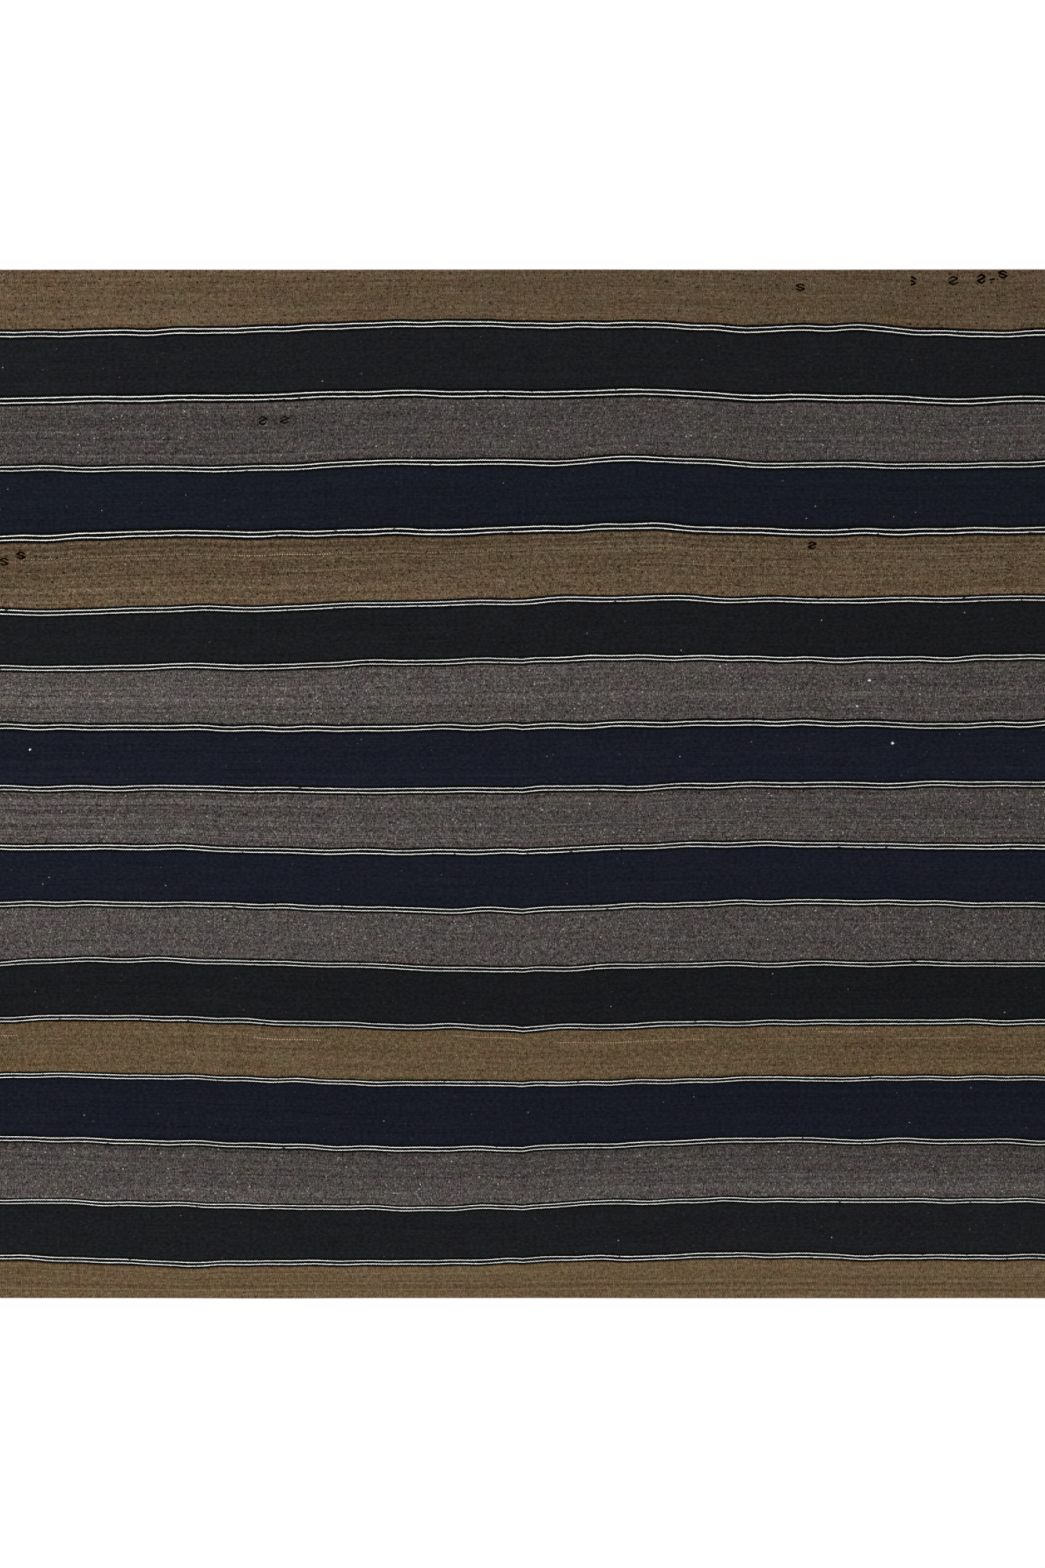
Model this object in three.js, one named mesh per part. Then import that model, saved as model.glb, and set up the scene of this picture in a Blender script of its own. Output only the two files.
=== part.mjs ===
// A striped flat-woven wool kilim, lying flat. It is one woven sheet: the stripes run from
// side to side with the wefts, and the two long edges are the ends of the warps.
// Millimetres, +Z up. The origin is the middle of the underside, +X runs along the stripes
// and +Y runs across them.
import * as THREE from "three";

// Driving dimensions
const STRIPE_LENGTH = 2740; // side to side, along the stripes
const END_TO_END = 1830; // across all the stripes
const THICKNESS = 3; // beaten-down wool wefts over firm warps
const CORNER_RADIUS = 7; // where a side meets an end
const EDGE_ROUNDING = 1.1; // the cloth's rim, above and below
const ROUNDING_STEPS = 3;

// How far each edge wanders in from a straight line. The ends lie straight, and the sides
// pull in a little where the weaver drew a weft tight.
const SIDE_WANDER = 2.4;
const END_WANDER = 0.6;
const OUTLINE_STEP = 45; // the distance between the points of an edge
const CORNER_STEPS = 5;

// One row for each edge, taken round the outline: the waves along it and where they start.
const EDGE_WAVES = {
  near: { slow: 2.3, quick: 7.1, start: 0.4 },
  right: { slow: 1.6, quick: 5.2, start: 1.9 },
  far: { slow: 2.7, quick: 6.3, start: 3.1 },
  left: { slow: 1.9, quick: 4.7, start: 5.0 },
};

// The wander at a share t of an edge, from 0 at its two corners to 1 where it is deepest:
// two sine waves, faded out towards both corners.
function wander({ slow, quick, start }, t) {
  const turn = 2 * Math.PI * t;
  const slowWave = 0.5 - 0.5 * Math.cos(slow * turn + start);
  const quickWave = 0.5 - 0.5 * Math.cos(quick * turn + 2 * start);
  return (0.7 * slowWave + 0.3 * quickWave) * Math.sin(Math.PI * t) ** 0.5;
}

// The points of one edge from corner to corner, both ends left out. along and inwards are
// unit vectors, and the edge starts at from.
function edgePoints(from, along, inwards, length, depth, waves) {
  const steps = Math.round(length / OUTLINE_STEP);
  return Array.from({ length: steps - 1 }, (_, i) => {
    const t = (i + 1) / steps;
    return from
      .clone()
      .addScaledVector(along, t * length)
      .addScaledVector(inwards, depth * wander(waves, t));
  });
}

// A quarter circle of points round a corner's centre, from startAngle anticlockwise.
function cornerPoints(centreX, centreY, startAngle) {
  return Array.from({ length: CORNER_STEPS + 1 }, (_, i) => {
    const angle = startAngle + (i / CORNER_STEPS) * (Math.PI / 2);
    return new THREE.Vector2(
      centreX + CORNER_RADIUS * Math.cos(angle),
      centreY + CORNER_RADIUS * Math.sin(angle),
    );
  });
}

// The sheet seen from above, anticlockwise from the near edge's left end.
function kilimOutline() {
  const halfX = STRIPE_LENGTH / 2;
  const halfY = END_TO_END / 2;
  const innerX = halfX - CORNER_RADIUS;
  const innerY = halfY - CORNER_RADIUS;
  const right = new THREE.Vector2(1, 0);
  const up = new THREE.Vector2(0, 1);
  const left = new THREE.Vector2(-1, 0);
  const down = new THREE.Vector2(0, -1);
  const at = (x, y) => new THREE.Vector2(x, y);
  return new THREE.Shape([
    ...edgePoints(at(-innerX, -halfY), right, up, 2 * innerX, END_WANDER, EDGE_WAVES.near),
    ...cornerPoints(innerX, -innerY, -Math.PI / 2),
    ...edgePoints(at(halfX, -innerY), up, left, 2 * innerY, SIDE_WANDER, EDGE_WAVES.right),
    ...cornerPoints(innerX, innerY, 0),
    ...edgePoints(at(innerX, halfY), left, down, 2 * innerX, END_WANDER, EDGE_WAVES.far),
    ...cornerPoints(-innerX, innerY, Math.PI / 2),
    ...edgePoints(at(-halfX, innerY), down, right, 2 * innerY, SIDE_WANDER, EDGE_WAVES.left),
    ...cornerPoints(-innerX, -innerY, Math.PI),
  ]);
}

// The outline raised to the cloth's thickness, with a rounded rim, standing on its underside.
function kilimSheet() {
  const sheet = new THREE.ExtrudeGeometry(kilimOutline(), {
    depth: THICKNESS - 2 * EDGE_ROUNDING,
    bevelEnabled: true,
    bevelThickness: EDGE_ROUNDING,
    bevelSize: EDGE_ROUNDING,
    bevelOffset: -EDGE_ROUNDING,
    bevelSegments: ROUNDING_STEPS,
    steps: 1,
  });
  return sheet.translate(0, 0, EDGE_ROUNDING);
}

const stripedWool = new THREE.MeshStandardMaterial({
  color: 0x3a3633,
  roughness: 0.95,
  metalness: 0,
});

const kilim = new THREE.Mesh(kilimSheet(), stripedWool);
kilim.name = "kilim";

const rug = new THREE.Group();
rug.add(kilim);

export default rug;
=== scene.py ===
"""A striped flat-woven wool kilim, lying flat and seen straight from above.

Metres, +Z up, in the frame of the solid model: +X runs along the stripes, with the wefts,
and +Y across them, with the warps. The origin is the middle of the underside.
"""

import bpy
import numpy as np
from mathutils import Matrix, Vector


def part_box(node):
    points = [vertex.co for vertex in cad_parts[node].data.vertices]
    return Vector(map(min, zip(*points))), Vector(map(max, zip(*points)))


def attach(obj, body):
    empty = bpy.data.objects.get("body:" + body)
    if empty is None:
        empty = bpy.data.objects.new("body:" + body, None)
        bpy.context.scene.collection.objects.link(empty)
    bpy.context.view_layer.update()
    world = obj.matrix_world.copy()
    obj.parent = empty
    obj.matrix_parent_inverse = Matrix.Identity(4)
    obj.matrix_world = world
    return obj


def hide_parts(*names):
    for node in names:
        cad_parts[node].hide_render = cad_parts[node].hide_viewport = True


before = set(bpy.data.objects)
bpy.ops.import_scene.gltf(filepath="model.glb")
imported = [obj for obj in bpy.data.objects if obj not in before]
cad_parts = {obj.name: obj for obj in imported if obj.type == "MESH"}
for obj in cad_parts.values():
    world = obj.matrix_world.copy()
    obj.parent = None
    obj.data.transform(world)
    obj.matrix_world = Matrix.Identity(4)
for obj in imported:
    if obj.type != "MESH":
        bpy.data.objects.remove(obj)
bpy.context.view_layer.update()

# The kilim: one sheet of handspun wool wefts, beaten down so hard over firm warps that only
# the wefts show. The weaver changed wool sixteen times, and at each change wove a pinstripe
# of two fine white lines in black. The wefts turn back at both sides.
MM = 0.001
_, far_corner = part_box("kilim")
HALF_LENGTH = far_corner[0]
HALF_WIDTH = far_corner[1]
THICKNESS = 2.8 * MM
UNDERSIDE = 0.05 * MM
RIM = 1.4 * MM
CORNER = 7 * MM
SELVEDGE_SWELL = 0.22
SELVEDGE_WIDTH = 4 * MM
SIDE_PULL = 2.4 * MM
SIDE_PULL_REACH = 60 * MM
END_WAVE = 0.5 * MM
COCKLE = 3 * MM  # how far the slow waves of the cloth stand off the floor at most
COLUMN_STEP = 12 * MM
ROW_STEP = 26 * MM

# Each wool's colour, how unlike its yarns are, how strong the painted light and shade is on the
# ribs where every second warp stands out under it, and how many pale and dark hairs it has.
WOOLS = {
    "brown": ((0.0831, 0.0551, 0.0311), 2.40, 2.8, 0.3, 1.0),
    "tan": ((0.0808, 0.0533, 0.0271), 1.60, 3.0, 0.2, 0.55),
    "black": ((0.0072, 0.0077, 0.0090), 1.40, 0.2, 0.0, 0.0),
    "grey": ((0.0531, 0.0457, 0.0427), 1.45, 4.4, 1.1, 0.4),
    "navy": ((0.0063, 0.0076, 0.0138), 1.30, 0.2, 0.0, 0.0),
    "slate": ((0.0061, 0.0077, 0.0126), 1.30, 0.2, 0.0, 0.0),
}

# One row for each stripe, from the far end: its wool, its shade against that wool at its far
# edge, middle and near edge, how much lighter it is at the right than in the middle, and how
# unlike its beads are and its bands.
STRIPES = [
    ("brown", (1.06, 1.01, 1.12), -0.09, 0.30, 0.60),
    ("black", (1.08, 1.05, 1.07), -0.03, 0.16, 0.50),
    ("grey", (0.94, 0.88, 1.02), 0.04, 0.81, 1.95),
    ("slate", (0.98, 0.96, 0.95), 0.00, 0.13, 0.75),
    ("brown", (0.84, 0.95, 1.18), 0.05, 0.57, 1.92),
    ("black", (0.99, 0.96, 1.00), -0.02, 0.18, 0.28),
    ("grey", (0.98, 1.23, 0.93), -0.10, 0.87, 2.40),
    ("navy", (0.95, 1.03, 1.12), 0.06, 0.20, 1.20),
    ("grey", (1.19, 0.93, 1.31), -0.09, 0.86, 3.50),
    ("navy", (1.01, 1.00, 0.98), 0.05, 0.14, 0.65),
    ("grey", (1.01, 1.06, 1.02), -0.07, 0.88, 0.95),
    ("black", (0.90, 0.87, 0.96), -0.02, 0.22, 0.55),
    ("tan", (1.13, 1.10, 1.22), 0.02, 0.43, 1.05),
    ("navy", (0.85, 0.92, 0.97), 0.03, 0.14, 1.20),
    ("grey", (0.88, 0.95, 1.37), 0.00, 0.80, 1.85),
    ("black", (1.05, 1.07, 1.17), 0.08, 0.18, 0.30),
    ("tan", (1.46, 1.26, 1.39), 0.02, 0.12, 2.00),
]

# Here and there one weft is pale, and shows as a row of dots. One row for each: its place
# across, where it starts and ends along the wefts, all in millimetres, and how pale it is.
PALE_WEFTS = [
    (410, -897, -520, 0.35),
    (410, -520, -330, 0.70),
    (410, -330, 770, 0.30),
    (383, -859, -734, 0.35),
    (383, -427, -278, 0.45),
    (383, 208, 511, 0.35),
    (-443, -121, 1, 0.50),
    (-443, 525, 617, 0.40),
    (-454, -929, -891, 0.60),
    (-454, -479, -357, 0.70),
    (-454, 59, 324, 0.45),
    (-454, 672, 789, 0.35),
]

# One row for each pinstripe, from the far end: the place of its middle and the spacing of its
# two white lines in millimetres, how white they are, and how many millimetres the beater
# drove it to the far end at each of the twelve BOW_PLACES along the wefts.
BOW_PLACES = np.array([-929, -776, -622, -455, -288, -107, 47, 228, 395, 590, 771, 929]) * MM
PINSTRIPES = [
    (808, 7.3, 0.98, (-9, -7, -4, 0, 7, 10, 7, 8, 0, 3, -8, -7)),
    (688, 7.9, 0.95, (-7, -4, -2, 0, 6, 6, 5, 9, 0, -1, -7, -3)),
    (567, 7.0, 1.00, (-6, -7, -7, -6, 3, 5, 4, 11, 1, 0, -2, 3)),
    (448, 7.7, 0.98, (-12, -7, -2, -4, 0, 1, 6, 10, 2, 0, 2, 4)),
    (320, 6.6, 0.99, (-15, -15, -9, -9, -2, 1, 6, 10, 7, 6, 8, 10)),
    (217, 6.6, 0.97, (-10, -12, -7, -9, -2, 1, 5, 8, 6, 4, 6, 9)),
    (103, 7.1, 0.94, (-1, -3, -3, -5, -5, -2, 0, 3, 5, 4, 0, 5)),
    (-6, 6.8, 0.91, (-2, -2, -1, -4, -6, -5, -2, 0, 5, 4, 6, 6)),
    (-114, 6.6, 0.98, (1, 1, 1, -5, -7, -7, -4, 3, 7, 5, 2, 2)),
    (-216, 6.3, 0.95, (3, 3, 2, -1, -6, -9, -6, 0, 5, 6, 3, 0)),
    (-321, 6.1, 0.88, (2, 8, 7, 2, -2, -9, -8, -2, 0, 1, 1, -1)),
    (-424, 6.3, 0.87, (6, 9, 7, 1, -5, -8, -9, -4, -1, 1, 1, 1)),
    (-526, 5.7, 1.01, (7, 7, 4, 0, -6, -7, -7, -4, 1, 1, 3, 2)),
    (-639, 6.1, 0.97, (9, 5, 1, -4, -9, -10, -7, -1, 6, 4, 4, 2)),
    (-746, 5.6, 1.02, (4, 1, -2, -6, -8, -9, -3, 3, 6, 5, 5, 4)),
    (-845, 6.0, 1.00, (3, -1, -8, -6, -6, -5, 1, 3, 8, 4, 4, 4)),
]

# Past the places that show, the bows fade out and looser waves take over.
FADED_PLACE = 1150 * MM
UNSEEN_REACH = 200 * MM
UNSEEN_WAVE = 8 * MM
SMALL_WAVE = 2.5 * MM
# At the middle of the wefts, the lower pinstripes drop a little and step up again.
KINKED_FROM = 5
KINK_PLACE = 2 * MM
KINK_DEPTH = 2.6 * MM
KINK_REACH = 16 * MM

dice = np.random.default_rng(41)


def loose_waves(at, rows, shortest, longest):
    """For each row, the mean of six sine waves, each with its own random length and start:
    sin(2 pi (at / length + start))."""
    length = dice.uniform(shortest, longest, (rows, 6, 1))
    start = dice.uniform(0, 1, (rows, 6, 1))
    return np.sin(2 * np.pi * (at / length + start)).mean(axis=1)


def curve_through(places, heights, at):
    """A smooth curve through set points. Between two of them it is the cubic whose slope at
    each end is that of the line between the end's two neighbours."""
    slopes = np.gradient(heights, places, axis=-1)
    left = np.clip(np.searchsorted(places, at) - 1, 0, len(places) - 2)
    gap = places[left + 1] - places[left]
    t = (at - places[left]) / gap
    return (
        heights[..., left] * (1 + 2 * t) * (1 - t) ** 2
        + heights[..., left + 1] * (3 - 2 * t) * t**2
        + slopes[..., left] * gap * t * (1 - t) ** 2
        - slopes[..., left + 1] * gap * t**2 * (1 - t)
    )


def pinstripe_bows(along):
    """How far each pinstripe lies from straight, at each place along the wefts: the set bows,
    the kink in the lower ones, small waves, and looser waves past the places that show."""
    bows = np.array([row[3] for row in PINSTRIPES]) * MM
    faded = bows[:, [0, -1]] / 2
    still = np.zeros((len(bows), 1))
    places = np.concatenate(
        [[-HALF_LENGTH, -FADED_PLACE], BOW_PLACES, [FADED_PLACE, HALF_LENGTH]]
    )
    heights = np.hstack([still, faded[:, :1], bows, faded[:, 1:], still])
    shape = curve_through(places, heights, along)
    kink = KINK_DEPTH * np.exp(-np.abs(along - KINK_PLACE) / KINK_REACH)
    shape[KINKED_FROM:] -= kink
    unseen = np.clip((np.abs(along) - BOW_PLACES[-1]) / UNSEEN_REACH, 0, 1)
    shape += UNSEEN_WAVE * unseen * loose_waves(along, 1, 0.5, 0.9)
    shape += UNSEEN_WAVE / 2 * unseen * loose_waves(along, len(bows), 0.3, 0.7)
    shape += SMALL_WAVE * loose_waves(along, len(bows), 0.08, 0.25)
    return shape


def lie_of_cloth(x, y):
    """How far the cloth stands off the floor: the square of a mean of seven slow sine waves
    in random directions, and nothing where that mean is below 0, so most of it lies flat."""
    turned = np.random.default_rng(5)
    length = turned.uniform(0.35, 0.9, 7)
    angle = turned.uniform(0, np.pi, 7)
    start = turned.uniform(0, 1, 7)
    wave = sum(
        np.sin(2 * np.pi * ((x * np.cos(a) + y * np.sin(a)) / l + s))
        for l, a, s in zip(length, angle, start)
    )
    return COCKLE * np.clip(wave / 7, 0, 1) ** 2


def spaced(first, last, step):
    """Places from first to last, evenly spaced, no further apart than step, last left out."""
    return np.linspace(first, last, int(np.ceil((last - first) / step)), endpoint=False)


# The grid's columns and rows lie closer together at the rounded rim and corners, and each
# pinstripe has rows at its middle and at both edges of its black.
rim_places = RIM * (1 - np.cos(np.radians([0, 30, 60])))
corner_places = np.concatenate([rim_places, [RIM, 2.8 * MM, 4.6 * MM]])
columns = np.concatenate(
    [
        corner_places - HALF_LENGTH,
        spaced(CORNER - HALF_LENGTH, HALF_LENGTH - CORNER, COLUMN_STEP),
        [HALF_LENGTH - CORNER],
        (HALF_LENGTH - corner_places)[::-1],
    ]
)
middles = np.array([row[0] for row in PINSTRIPES]) * MM
spacings = np.array([row[1] for row in PINSTRIPES]) * MM
PINSTRIPE_REACH = 1.6  # half a pinstripe with its black, in spacings of the white lines
reaches = PINSTRIPE_REACH * spacings
halfway = (middles[1:] + middles[:-1]) / 2

row_marks = np.concatenate(
    [
        [CORNER - HALF_WIDTH, HALF_WIDTH - CORNER],
        middles - reaches,
        middles,
        middles + reaches,
        halfway,
    ]
)
row_marks.sort()
rows = np.concatenate(
    [corner_places - HALF_WIDTH]
    + [spaced(a, b, ROW_STEP) for a, b in zip(row_marks[:-1], row_marks[1:])]
    + [[HALF_WIDTH - CORNER], (HALF_WIDTH - corner_places)[::-1]]
)

# How far the wefts lie from straight, at the two ends and at both edges of each pinstripe.
bows = pinstripe_bows(columns)
end_bows = END_WAVE * (loose_waves(columns, 2, 0.3, 1.1) - 1) * [[-1], [1]]
knots = np.concatenate([[-HALF_WIDTH], middles - reaches, middles + reaches, [HALF_WIDTH]])
knot_bows = np.vstack([end_bows[:1], bows, bows, end_bows[1:]])
knot_order = np.argsort(knots)
knots = knots[knot_order]
knot_bows = knot_bows[knot_order]
below = np.clip(np.searchsorted(knots, rows) - 1, 0, len(knots) - 2)
share = ((rows - knots[below]) / (knots[below + 1] - knots[below]))[:, None]
weft_bow = knot_bows[below] * (1 - share) + knot_bows[below + 1] * share


def rounded_corners(x, y):
    """Turns each square corner of a rectangle into a quarter disc: with u and v from 0 to 1
    towards the corner, u becomes u sqrt(1 - v^2 / 2), and v becomes v sqrt(1 - u^2 / 2)."""
    u = np.clip((np.abs(x) - HALF_LENGTH) / CORNER + 1, 0, None)
    v = np.clip((np.abs(y) - HALF_WIDTH) / CORNER + 1, 0, None)
    inward_x = CORNER * u * (1 - np.sqrt(1 - v**2 / 2))
    inward_y = CORNER * v * (1 - np.sqrt(1 - u**2 / 2))
    return x - np.sign(x) * inward_x, y - np.sign(y) * inward_y


side_waves = loose_waves(rows, 2, 0.25, 0.9).T


def cloth_face(side):
    """The upper face (side 1) or the underside (side -1) on the grid. Half the thickness
    falls to nothing over the rim as a quarter circle, and swells along both sides, where the
    wefts pull the cloth in by SIDE_PULL exp(-distance from the side / SIDE_PULL_REACH)."""
    straight_x, straight_y = np.meshgrid(columns, rows)
    from_side = HALF_LENGTH - np.abs(straight_x)
    from_end = HALF_WIDTH - np.abs(straight_y)
    rim = np.clip(np.minimum(from_side, from_end) / RIM, 0, 1)
    swell = 1 + SELVEDGE_SWELL * np.exp(-((from_side / SELVEDGE_WIDTH - 1) ** 2))
    half = THICKNESS / 2 * swell
    x, y = rounded_corners(straight_x, straight_y)
    pull = SIDE_PULL * (0.5 + 0.5 * side_waves[:, None, 0])
    pull = np.where(x > 0, SIDE_PULL * (0.5 + 0.5 * side_waves[:, None, 1]), pull)
    x = x - np.sign(x) * pull * np.exp(-from_side / SIDE_PULL_REACH)
    y = y + weft_bow
    lie = lie_of_cloth(x, y)
    z = UNDERSIDE + lie + half + side * half * np.sqrt(1 - (1 - rim) ** 2)
    return np.stack([x, y, z], axis=-1)


upper = cloth_face(1).reshape(-1, 3)
under = cloth_face(-1).reshape(-1, 3)
upper_numbers = np.arange(len(upper)).reshape(len(rows), len(columns))
under_numbers = upper_numbers.copy()
under_numbers[1:-1, 1:-1] += len(upper)


def quads_of(numbers):
    """The quads of a grid of point numbers, anticlockwise seen from above."""
    return np.stack(
        [numbers[:-1, :-1], numbers[:-1, 1:], numbers[1:, 1:], numbers[1:, :-1]], axis=-1
    ).reshape(-1, 4)


quads = np.vstack([quads_of(upper_numbers), quads_of(under_numbers)[:, ::-1]])
used, quads = np.unique(quads, return_inverse=True)
quads = quads.reshape(-1, 4)
points = np.vstack([upper, under])[used]


def new_piece(name, points, *faces):
    """An object of the given points and of one or more arrays of faces, smoothly shaded."""
    mesh = bpy.data.meshes.new(name)
    mesh.from_pydata(points.tolist(), [], [face for array in faces for face in array.tolist()])
    mesh.polygons.foreach_set("use_smooth", np.ones(len(mesh.polygons), dtype=bool))
    piece = bpy.data.objects.new(name, mesh)
    bpy.context.collection.objects.link(piece)
    return piece


cloth = new_piece("striped_kilim", points, quads)

# The weave map gives each point's place along and across the straight cloth, in metres. The
# second map fills a square, and gives half of its height to the pinstripes.
straight = np.stack(np.meshgrid(columns, rows), axis=-1).reshape(-1, 2)
straight = np.vstack([straight, straight])[used]


def set_map(piece, name, places):
    """Adds a UV map that gives each point its place."""
    layer = piece.data.uv_layers.new(name=name)
    corners = np.empty(len(piece.data.loops), dtype=int)
    piece.data.loops.foreach_get("vertex_index", corners)
    layer.uv.foreach_set("vector", places[corners].ravel())


set_map(cloth, "weave", straight)
widths = np.diff(knots)
in_pinstripe = np.arange(len(widths)) % 2 == 1
shares = np.where(in_pinstripe, 0.5 / in_pinstripe.sum(), 0)
shares[~in_pinstripe] = 0.5 * widths[~in_pinstripe] / widths[~in_pinstripe].sum()
heights = np.interp(straight[:, 1], knots, np.concatenate([[0], np.cumsum(shares)]))
set_map(cloth, "OFBake", np.stack([straight[:, 0] / HALF_LENGTH / 2 + 0.5, heights], axis=-1))

# Each face knows its wool, and the pinstripe nearest to it.
row_middles = (rows[1:] + rows[:-1]) / 2
stripe_of_row = (row_middles[:, None] < middles).sum(axis=1)
pinstripe_of_row = np.abs(row_middles[:, None] - middles).argmin(axis=1)
stripe_edges = np.concatenate([[HALF_WIDTH], middles, [-HALF_WIDTH]])
down_stripe = (stripe_edges[stripe_of_row] - row_middles) / -np.diff(stripe_edges)[stripe_of_row]
wool_colours = np.array([WOOLS[row[0]][0] for row in STRIPES])[stripe_of_row]
wool_traits = np.array([WOOLS[row[0]][1:] for row in STRIPES])[stripe_of_row]
far_shade, middle_shade, near_shade = np.array([row[1] for row in STRIPES])[stripe_of_row].T
near_share = np.clip(2 * down_stripe - 1, 0, 1)
far_share = np.clip(1 - 2 * down_stripe, 0, 1)
middle_share = 1 - near_share - far_share
shades = far_shade * far_share + middle_shade * middle_share + near_shade * near_share
drifts = np.array([row[2] for row in STRIPES])[stripe_of_row]
column_middles = (columns[1:] + columns[:-1]) / 2
drift = drifts[:, None] * np.clip(column_middles / BOW_PLACES[-1], -1.5, 1.5)


def set_on_faces(name, values):
    """Stores a number for each row of faces or for each face, or a colour for each face, on
    both faces of the cloth."""
    plain = values.ndim < 3
    each = np.repeat(values, len(columns) - 1) if values.ndim == 1 else values
    stored = cloth.data.attributes.new(name, "FLOAT" if plain else "FLOAT_COLOR", "FACE")
    stored.data.foreach_set("value" if plain else "color", np.tile(each.ravel(), 2))


def colours_of_faces(colours, amounts):
    """For each face, its row's colour times its own amount, with a fourth number, 1."""
    amounts = np.broadcast_to(amounts, (len(colours), len(column_middles)))
    opacity = np.ones_like(amounts)[:, :, None]
    return np.concatenate([colours[:, None] * amounts[:, :, None], opacity], axis=-1)


# A light yarn is more alike in its strong colours than in its weak ones.
lightness = wool_colours @ [0.2126, 0.7152, 0.0722]
mottling = (lightness[:, None] / wool_colours) ** 0.35
set_on_faces("wool", colours_of_faces(wool_colours, shades[:, None] * (1 + drift)))
set_on_faces("mottling", colours_of_faces(mottling, 1))
set_on_faces("unlike_beads", np.array([row[3] for row in STRIPES])[stripe_of_row])
set_on_faces("unlike_bands", np.array([row[4] for row in STRIPES])[stripe_of_row])
set_on_faces("unlike_yarns", wool_traits[:, 0])
set_on_faces("painted_rib_strength", wool_traits[:, 1])
set_on_faces("pale_hairs", wool_traits[:, 2])
set_on_faces("dark_hairs", wool_traits[:, 3])
whiteness = np.array([row[2] for row in PINSTRIPES])
set_on_faces("pinstripe_middle", middles[pinstripe_of_row])
set_on_faces("pinstripe_spacing", spacings[pinstripe_of_row])
set_on_faces("pinstripe_whiteness", whiteness[pinstripe_of_row])

# Each face knows the number of the pale weft that crosses it, and how pale that weft is.
# A bead is two wefts long.
BEAD_LENGTH = 1.9 * MM
pale_weft = np.zeros((len(row_middles), len(column_middles)))
paleness = np.zeros_like(pale_weft)
for place, first, last, pale in PALE_WEFTS:
    row = np.searchsorted(rows, place * MM) - 1
    crossed = (column_middles > first * MM) & (column_middles < last * MM)
    pale_weft[row, crossed] = np.round(2 * place * MM / BEAD_LENGTH)
    paleness[row, crossed] = pale
set_on_faces("pale_weft", pale_weft)
set_on_faces("paleness", paleness)


def add_node(material, kind, sockets=None, **settings):
    """One node of a material. settings are its own properties, and sockets its inputs, each
    a plain value, a node's output or an Amount."""
    node = material.node_tree.nodes.new("ShaderNode" + kind)
    for name, value in settings.items():
        setattr(node, name, value)
    for name, value in (sockets or {}).items():
        value = getattr(value, "socket", value)
        if isinstance(value, bpy.types.NodeSocket):
            material.node_tree.links.new(value, node.inputs[name])
        else:
            node.inputs[name].default_value = value
    return node


class Amount:
    """A number that varies over a material. Arithmetic on it adds the nodes that work it
    out."""

    def __init__(self, material, socket):
        self.material = material
        self.socket = socket

    def combined(self, operation, *others):
        sockets = dict(enumerate([self, *others]))
        node = add_node(self.material, "Math", sockets, operation=operation)
        return Amount(self.material, node.outputs[0])

    def __add__(self, other):
        return self.combined("ADD", other)

    def __sub__(self, other):
        return self.combined("SUBTRACT", other)

    def __mul__(self, other):
        return self.combined("MULTIPLY", other)

    def __truediv__(self, other):
        return self.combined("DIVIDE", other)

    def __mod__(self, other):
        return self.combined("FLOORED_MODULO", other)

    def floor(self):
        return self.combined("FLOOR")

    def size(self):
        return self.combined("ABSOLUTE")

    def at_least(self, other):
        return self.combined("MAXIMUM", other)

    def power(self, other):
        return self.combined("POWER", other)

    def ramp(self, first, last):
        """0 up to first, 1 from last, and a smooth rise between. It falls if last is less."""
        falls = last < first
        sockets = {
            "Value": self,
            "From Min": min(first, last),
            "From Max": max(first, last),
            "To Min": float(falls),
            "To Max": float(not falls),
        }
        node = add_node(self.material, "MapRange", sockets, interpolation_type="SMOOTHSTEP")
        return Amount(self.material, node.outputs["Result"])


def new_material(name):
    """A material with nothing in it but its shader."""
    material = bpy.data.materials.new(name)
    material.use_nodes = True
    return material, material.node_tree.nodes["Principled BSDF"]


def parted(material, socket):
    """The three numbers of a place or a colour."""
    node = add_node(material, "SeparateXYZ", {"Vector": socket})
    return [Amount(material, output) for output in node.outputs]


def placed(material, *numbers):
    """A place made from two or three numbers."""
    return add_node(material, "CombineXYZ", dict(enumerate(numbers))).outputs["Vector"]


def cloudy(material, place, detail, roughness=0.6):
    """Three unlike smooth noises at a place, each about 0."""
    sockets = {"Vector": place, "Scale": 1.0, "Detail": detail, "Roughness": roughness}
    node = add_node(material, "TexNoise", sockets, noise_dimensions="2D")
    return [noise - 0.5 for noise in parted(material, node.outputs["Color"])]


def scaled(material, colour, amount):
    """A colour times an amount."""
    sockets = {0: colour, "Scale": amount}
    return add_node(material, "VectorMath", sockets, operation="SCALE").outputs["Vector"]


def together(material, operation, first, second):
    """Two colours added or multiplied, number by number."""
    sockets = {0: first, 1: second}
    return add_node(material, "VectorMath", sockets, operation=operation).outputs["Vector"]


def mixed(material, share, first, second):
    """The colour that is first where share is 0, and second where it is 1."""
    node = add_node(material, "Mix", {0: share, 6: first, 7: second}, data_type="RGBA")
    return node.outputs[2]


def read(material, name):
    """A number stored on the faces of the cloth."""
    node = add_node(material, "Attribute", attribute_name=name)
    return Amount(material, node.outputs["Fac"])


def read_colour(material, name):
    """A colour stored on the faces of the cloth."""
    return add_node(material, "Attribute", attribute_name=name).outputs["Color"]


# The striped wool. Each weft shows as a row of beads, one on every second warp, and the next
# weft's beads lie between them. So a bead is two wefts long, and the edge of a line is
# toothed at every second warp.
WARP_PITCH = 2.23 * MM
TOOTH = 0.45 * MM
JITTER = 0.3 * MM
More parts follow.
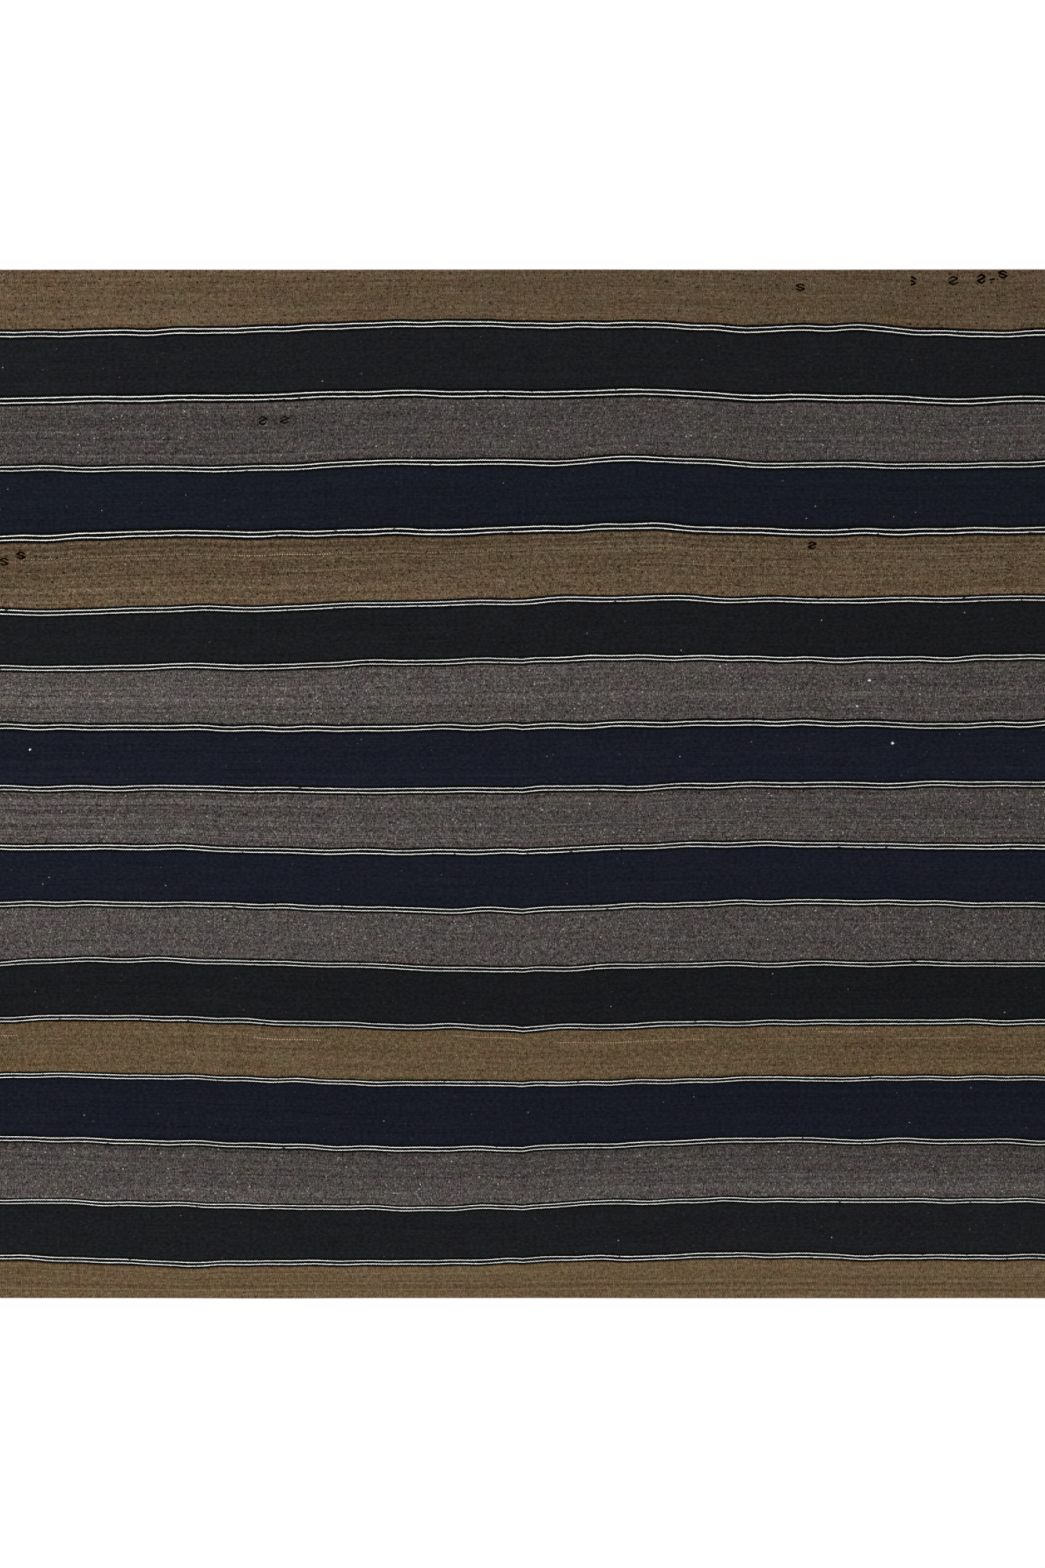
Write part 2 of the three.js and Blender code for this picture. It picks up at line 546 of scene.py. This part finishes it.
# How long and wide each kind of unevenness and the painted rib shade are.
YARN_LENGTH = 360 * MM
BAND_LENGTH = 8000 * MM
BAND_WIDTH = 8 * MM
WANDER_LENGTH = 70 * MM
BREAK_LENGTH = 13 * MM
BREAK_WIDTH = 5 * MM
RIB_LENGTH = 13 * MM
RIB_WIDTH = 5 * MM
SPECK_LENGTH = 7 * MM
SPECK_WIDTH = 5 * MM
PATCH_LENGTH = 60 * MM
PATCH_WIDTH = 34 * MM
UNLIKE = 7.31  # a step in a noise that is long enough to give neighbours unlike values
EVENING = 2.3  # the power that makes light and dark steps look alike in size

striped_wool, wool_shader = new_material("striped_wool")
weave_map = add_node(striped_wool, "UVMap", uv_map="weave")
along, across, _ = parted(striped_wool, weave_map.outputs["UV"])

warp_place = along / WARP_PITCH
warp = warp_place.floor()
odd = warp % 2.0
bead_place = across / BEAD_LENGTH + odd / 2.0
bead = bead_place.floor()
weft = bead * 2.0 - odd

bead_dice = add_node(
    striped_wool,
    "TexWhiteNoise",
    {"Vector": placed(striped_wool, warp, bead)},
    noise_dimensions="2D",
)
bead_shade, bead_jitter, hair_dice = parted(striped_wool, bead_dice.outputs["Color"])
yarn_place = placed(striped_wool, along / YARN_LENGTH, weft * UNLIKE)
yarn_shade, slub_cloud, hair_cloud = cloudy(striped_wool, yarn_place, 6.0, 0.75)
band_place = placed(striped_wool, along / BAND_LENGTH, across / BAND_WIDTH)
band_shade, _, _ = cloudy(striped_wool, band_place, 3.0, 0.75)
speck_place = placed(striped_wool, along / SPECK_LENGTH, across / SPECK_WIDTH)
dark_specks, pale_specks, speckle = cloudy(striped_wool, speck_place, 1.0)
rib_place = placed(striped_wool, along / RIB_LENGTH, across / RIB_WIDTH)
rib_cloud, _, _ = cloudy(striped_wool, rib_place, 1.0)
patch_place = placed(striped_wool, along / PATCH_LENGTH, across / PATCH_WIDTH)
patch_shade, warmth, greenness = cloudy(striped_wool, patch_place, 3.0)
wander_place = placed(striped_wool, along / WANDER_LENGTH, across / PATCH_WIDTH)
line_wander, _, _ = cloudy(striped_wool, wander_place, 2.0)
break_place = placed(striped_wool, along / BREAK_LENGTH, across / BREAK_WIDTH)
line_breaks, _, _ = cloudy(striped_wool, break_place, 1.0)

# Most beads are much alike, and a few are far lighter or darker.
bead_spread = bead_shade * 2.0 - 1.0
bead_spread = bead_spread * (bead_spread.power(4.0) * 1.3 + 0.3)
# Painted light and shade of ribs: in patches the beads on odd warps stand prouder and are painted
# lighter and those on even warps darker, and elsewhere the other way round.
painted_rib_shade = rib_cloud * (odd - 0.5)
unevenness_and_rib_shade = (
    bead_spread * read(striped_wool, "unlike_beads")
    + yarn_shade * read(striped_wool, "unlike_yarns")
    + painted_rib_shade * read(striped_wool, "painted_rib_strength")
    + band_shade * read(striped_wool, "unlike_bands")
    + speckle * 1.35
    + patch_shade * 0.3
)
# Each number of the wool's colour is multiplied by (1 + its unevenness and painted rib shade /
# EVENING) to the power of EVENING, which looks as far from plain on the light side as on the dark.
steps = scaled(striped_wool, read_colour(striped_wool, "mottling"), unevenness_and_rib_shade)
hue_steps = placed(
    striped_wool,
    warmth * 0.2 - greenness * 0.12,
    greenness * 0.24,
    warmth * -0.2 - greenness * 0.12,
)
steps = parted(striped_wool, together(striped_wool, "ADD", steps, hue_steps))
uneven = [(step / EVENING + 1.0).at_least(0.2).power(EVENING) for step in steps]
uneven = placed(striped_wool, *uneven)
ground = together(striped_wool, "MULTIPLY", read_colour(striped_wool, "wool"), uneven)

# The pale wefts take the place of the stripe's own wool, some of their beads more than others.
PALE_WEFT = (0.50, 0.38, 0.24, 1)
is_pale_weft = (weft - read(striped_wool, "pale_weft")).size().ramp(0.6, 0.4)
pale_weft_share = is_pale_weft * read(striped_wool, "paleness") * (bead_shade * 0.6 + 0.7)
ground = mixed(striped_wool, pale_weft_share, ground, PALE_WEFT)

# Stray hairs spun into the yarn: dark slubs and specks, pale ones, a few very pale flecks of
# one bead, and fine lint.
DARK_HAIR = (0.014, 0.0068, 0.0018, 1)
PALE_HAIR = (0.52, 0.48, 0.43, 1)
PALE_LINT = (0.25, 0.255, 0.265, 1)
dark_hairs = slub_cloud.ramp(-0.17, -0.24) * 0.6 + dark_specks.ramp(-0.19, -0.24)
dark_hairs = dark_hairs + hair_dice.ramp(0.985, 0.992) * 0.5
pale_hairs = hair_cloud.ramp(0.14, 0.24) * bead_shade.ramp(0.4, 0.9) * 0.24
pale_hairs = pale_hairs + pale_specks.ramp(0.27, 0.33) * 0.19
pale_hairs = pale_hairs + hair_dice.ramp(0.003, 0.002) * 0.35 + hair_dice.ramp(0.0015, 0.0) * 0.5
dark_hairs = dark_hairs * read(striped_wool, "dark_hairs")
pale_hairs = pale_hairs * read(striped_wool, "pale_hairs")
lint = hair_dice.power(-0.8) * 0.00023  # the stronger, the rarer
ground = mixed(striped_wool, dark_hairs, ground, DARK_HAIR)
ground = mixed(striped_wool, pale_hairs, ground, PALE_HAIR)
ground = mixed(striped_wool, lint, ground, PALE_LINT)

# Each bead stands highest at its middle. Painted shade darkens the colour in the gaps between
# beads, where the relief sinks.
across_bead = ((warp_place % 1.0) - 0.5) * 2.0
along_bead = ((bead_place % 1.0) - 0.5) * 2.0
crown = (across_bead * across_bead) * -0.7 + (along_bead * along_bead) * -0.3 + 1.0
painted_gap_shade = crown * 0.45 + 0.72
ground_with_gap_shade = scaled(striped_wool, ground, painted_gap_shade)

# The pinstripe, measured from its middle in spacings of its white lines.
line_tooth = (odd - 0.5) * TOOTH + (bead_jitter - 0.5) * JITTER
from_middle = across + line_tooth - read(striped_wool, "pinstripe_middle")
spaces_out = (from_middle / read(striped_wool, "pinstripe_spacing")).size()
spaces_out = spaces_out + line_wander * 0.2 + line_breaks * 0.12
is_white = (spaces_out - 0.5).size().ramp(0.116, 0.063)
is_black = spaces_out.ramp(1.31, 1.24)
missed = line_breaks.ramp(0.23, 0.31) * 0.9

PINSTRIPE_BLACK = (0.0012, 0.0012, 0.0014, 1)
PINSTRIPE_WHITE = (0.94, 0.94, 0.90, 1)
white_shade = bead_shade * 0.25 + yarn_shade * 1.4 + 0.89
white_shade = white_shade * read(striped_wool, "pinstripe_whiteness")
white = scaled(striped_wool, PINSTRIPE_WHITE[:3], white_shade)
with_black = mixed(striped_wool, is_black, ground_with_gap_shade, PINSTRIPE_BLACK)
with_white = mixed(striped_wool, is_white * (missed * -1.0 + 1.0), with_black, white)

relief = add_node(striped_wool, "Bump", {"Strength": 0.5, "Distance": 0.4 * MM, "Height": crown})
striped_wool.node_tree.links.new(with_white, wool_shader.inputs["Base Color"])
striped_wool.node_tree.links.new(relief.outputs["Normal"], wool_shader.inputs["Normal"])
wool_shader.inputs["Roughness"].default_value = 0.92
wool_shader.inputs["Specular IOR Level"].default_value = 0.04
wool_shader.inputs["Sheen Weight"].default_value = 0.04
wool_shader.inputs["Sheen Roughness"].default_value = 0.5
cloth.data.materials.append(striped_wool)

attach(cloth, "root")
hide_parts("kilim")

# The hook marks: small hooks of dark wool, worked over the wefts of the brown and grey
# stripes as they were woven. Each is one strand, laid in a zigzag and beaten flat.
STRAND_HEIGHT = 0.9 * MM
STRAND_STEPS = 36
STRAND_SIDES = 8
# The turns of a whole hook, in shares of half its length and of half its width.
HOOK_ALONG = np.array([-1.0, -0.04, 0.95, -0.95, 0.04, 1.0])
HOOK_ACROSS = np.array([0.3, 1.0, 0.48, -0.48, -1.0, -0.3])
# One row for each strand, in millimetres: the place of its hook, half the hook's length,
# negative where it faces left, half its width, the shares of the hook between which the
# strand runs, and how wide the strand is. Two of the marks are worn to short strands, which
# have a row each.
HOOK_MARKS = [
    (494, 883, -8.6, 5.9, 0.0, 1.0, 3.0),
    (693, 894, -7.6, 7.2, 0.0, 0.28, 3.7),
    (693, 894, -7.6, 6.6, 0.45, 0.56, 3.2),
    (693, 894, -7.6, 6.6, 0.6, 0.86, 3.7),
    (766, 895, 8.4, 7.2, 0.0, 1.0, 2.9),
    (816, 898, 7.4, 7.7, 0.0, 1.0, 3.8),
    (840, 895, 9.0, 2.9, 0.0, 0.22, 3.6),
    (834, 895, 4.0, 3.8, 0.7, 0.88, 3.4),
    (854, 906, -8.4, 6.4, 0.0, 1.0, 3.3),
    (-462, 646, 7.0, 7.2, 0.0, 1.0, 2.9),
    (-423, 647, 8.9, 6.2, 0.0, 1.0, 2.3),
    (-922, 395, -8.7, 6.1, 0.0, 1.0, 2.8),
    (-892, 406, -8.0, 6.1, 0.0, 1.0, 3.3),
    (515, 424, 8.0, 5.9, 0.0, 1.0, 3.2),
]


def closed_tube(rings):
    """The points, quads and triangles of rings joined one to the next. At both ends a fan of
    triangles meets at the ring's own middle."""
    steps, sides = rings.shape[:2]
    numbers = np.arange(steps * sides).reshape(steps, sides)
    around = np.hstack([numbers, numbers[:, :1]])
    first, last = steps * sides, steps * sides + 1
    opening = np.stack([np.full(sides, first), around[0, 1:], around[0, :-1]], axis=-1)
    ending = np.stack([np.full(sides, last), around[-1, :-1], around[-1, 1:]], axis=-1)
    points = np.vstack([rings.reshape(-1, 3), rings[0].mean(axis=0), rings[-1].mean(axis=0)])
    return points, quads_of(around), np.vstack([opening, ending])


def strand(route, width, height):
    """A flat strand along a route: at each step s from -1 to 1 an ellipse stands across it,
    width wide and height high, times sqrt(1 - s^8), so it closes bluntly at both ends."""
    ahead = np.gradient(route, axis=0)
    ahead /= np.linalg.norm(ahead, axis=1, keepdims=True)
    sideways = np.stack([-ahead[:, 1], ahead[:, 0], 0 * ahead[:, 0]], axis=-1)
    steps = np.linspace(-1, 1, len(route))
    girth = np.sqrt(np.clip(1 - steps**8, 0, 1))[:, None, None] + 0.02
    angles = np.linspace(0, 2 * np.pi, STRAND_SIDES, endpoint=False)
    out = sideways[:, None] * np.cos(angles)[None, :, None] * width / 2
    up = np.array([0, 0, 1]) * np.sin(angles)[:, None] * height / 2
    return closed_tube(route[:, None] + (out + up[None]) * girth)


def hook_route(along, across, half_length, half_width, first, last):
    """A route on the upper face: straight from turn to turn of the hook."""
    turns = np.linspace(0, 1, len(HOOK_ALONG))
    shown = np.linspace(first, last, STRAND_STEPS)
    x = (along + half_length * np.interp(shown, turns, HOOK_ALONG)) * MM
    y = (across + half_width * np.interp(shown, turns, HOOK_ACROSS)) * MM
    return np.stack([x, y, UNDERSIDE + THICKNESS + lie_of_cloth(x, y)], axis=-1)


def joined(parts):
    """The points, quads and triangles of many tubes as one."""
    counts = np.cumsum([0] + [len(points) for points, _, _ in parts])
    points = np.vstack([points for points, _, _ in parts])
    quads = np.vstack([quads + count for (_, quads, _), count in zip(parts, counts)])
    triangles = np.vstack([fans + count for (_, _, fans), count in zip(parts, counts)])
    return points, quads, triangles


hooks = new_piece(
    "hook_marks",
    *joined([strand(hook_route(*mark[:-1]), mark[-1] * MM, STRAND_HEIGHT) for mark in HOOK_MARKS]),
)
dark_strand, strand_shader = new_material("dark_strand")
strand_place = add_node(dark_strand, "TexCoord").outputs["Object"]
strand_noise = add_node(
    dark_strand, "TexNoise", {"Vector": strand_place, "Scale": 900.0, "Detail": 2.0}
)
strand_colour = mixed(
    dark_strand,
    Amount(dark_strand, strand_noise.outputs["Fac"]).ramp(0.35, 0.7),
    (0.0012, 0.0003, 0.0001, 1),
    (0.0040, 0.0012, 0.0003, 1),
)
strand_relief = add_node(
    dark_strand, "Bump", {"Distance": 0.2 * MM, "Height": strand_noise.outputs["Fac"]}
)
dark_strand.node_tree.links.new(strand_colour, strand_shader.inputs["Base Color"])
dark_strand.node_tree.links.new(strand_relief.outputs["Normal"], strand_shader.inputs["Normal"])
strand_shader.inputs["Roughness"].default_value = 0.95
strand_shader.inputs["Specular IOR Level"].default_value = 0.0
hooks.data.materials.append(dark_strand)
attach(hooks, "root")

# The nubs: tufts of pale wool that the spinning left in the dark yarns, or that caught in
# them later. Each is pressed into the face of the cloth.
NUB_SIDES = 9
# One row for each nub: its place in millimetres, its length and its width.
NUBS = [
    (-876, 61, 4.9, 4.4),
    (658, 72, 6.1, 5.4),
    (617, 184, 6.4, 4.1),
    (595, 138, 4.5, 3.8),
    (489, 853, 1.8, 1.5),
    (157, -396, 1.7, 1.5),
    (579, -365, 1.5, 1.3),
    (10, -584, 1.8, 1.6),
    (-748, 486, 1.9, 1.7),
    (-34, 535, 1.5, 1.3),
    (-853, 736, 1.2, 1.1),
    (-682, 578, 2.5, 1.9),
    (505, 472, 1.7, 1.4),
    (660, 475, 1.5, 1.3),
    (699, 483, 1.6, 1.4),
    (-465, 844, 2.3, 1.9),
]
NUB_HEIGHT = 1.0 * MM


def nub(along, across, length, width):
    """A low dome on the cloth with a wavy outline, and a flat bottom just inside the cloth.
    Its height over the share r of the way out is that of a circle, sqrt(1 - r^2)."""
    angles = np.linspace(0, 2 * np.pi, NUB_SIDES, endpoint=False)
    shares = np.array([1.0, 0.85, 0.5, 0.02])[:, None]
    reach = dice.uniform(0.75, 1.25, NUB_SIDES) / 2 * MM
    x = along * MM + length * reach * np.cos(angles) * shares
    y = across * MM + width * reach * np.sin(angles) * shares
    z = UNDERSIDE + THICKNESS + lie_of_cloth(x, y) + NUB_HEIGHT * (np.sqrt(1 - shares**2) - 0.2)
    return np.stack([x, y, z], axis=-1)


nubs = new_piece("pale_nubs", *joined([closed_tube(nub(*row)) for row in NUBS]))
pale_wool, nub_shader = new_material("pale_wool")
nub_place = add_node(pale_wool, "TexCoord").outputs["Object"]
nub_noise = add_node(pale_wool, "TexNoise", {"Vector": nub_place, "Scale": 700.0})
nub_colour = mixed(
    pale_wool,
    Amount(pale_wool, nub_noise.outputs["Fac"]).ramp(0.3, 0.7),
    (0.40, 0.40, 0.38, 1),
    (0.85, 0.85, 0.81, 1),
)
pale_wool.node_tree.links.new(nub_colour, nub_shader.inputs["Base Color"])
nub_shader.inputs["Roughness"].default_value = 0.95
nub_shader.inputs["Specular IOR Level"].default_value = 0.04
nubs.data.materials.append(pale_wool)
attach(nubs, "root")

# The floor and the light: a plain pale floor under even, soft studio light, a little
# stronger from the left.
FLOOR_REACH = 60
floor = new_piece(
    "floor",
    np.array([[-1, -1, 0], [1, -1, 0], [1, 1, 0], [-1, 1, 0]]) * FLOOR_REACH,
    np.array([[0, 1, 2, 3]]),
)
pale_floor, floor_shader = new_material("pale_floor")
floor_shader.inputs["Base Color"].default_value = (0.93, 0.93, 0.93, 1)
floor_shader.inputs["Roughness"].default_value = 0.9
floor_shader.inputs["Specular IOR Level"].default_value = 0.2
floor.data.materials.append(pale_floor)

studio = bpy.data.worlds.new("studio")
studio.use_nodes = True
studio.node_tree.nodes["Background"].inputs["Color"].default_value = (1, 1, 1, 1)
studio.node_tree.nodes["Background"].inputs["Strength"].default_value = 0.63
bpy.context.scene.world = studio
bpy.context.scene.view_settings.view_transform = "Standard"

LAMP_PLACE = np.array([-3.5, 0.0, 6.0])
lamp_data = bpy.data.lights.new("softbox", "AREA")
lamp_data.shape = "SQUARE"
lamp_data.size = 4
lamp_data.energy = 377
lamp = bpy.data.objects.new("softbox", lamp_data)
lamp.location = LAMP_PLACE
lamp.rotation_euler = (
    np.arctan2(np.hypot(LAMP_PLACE[0], LAMP_PLACE[1]), LAMP_PLACE[2]),
    0,
    np.arctan2(LAMP_PLACE[0], -LAMP_PLACE[1]),
)
lamp.visible_camera = False
bpy.context.collection.objects.link(lamp)

# The camera looks straight down from high up, with the far end at the top. In the
# photograph, 2000 pixels high, the kilim's two ends lie at these heights.
PHOTO_HEIGHT = 2000
FAR_END_PIXEL = 343.5
NEAR_END_PIXEL = 1656.2
SENSOR = 36
pixel = 2 * HALF_WIDTH / (NEAR_END_PIXEL - FAR_END_PIXEL)
camera_data = bpy.data.cameras.new("camera")
camera_data.lens = 120
camera_data.sensor_fit = "VERTICAL"
camera_data.sensor_height = SENSOR
camera_data.clip_end = 200
camera = bpy.data.objects.new("camera", camera_data)
camera.location = (
    0,
    ((NEAR_END_PIXEL + FAR_END_PIXEL) / 2 - PHOTO_HEIGHT / 2) * pixel,
    THICKNESS + PHOTO_HEIGHT * pixel * camera_data.lens / SENSOR,
)
bpy.context.collection.objects.link(camera)
bpy.context.scene.camera = camera
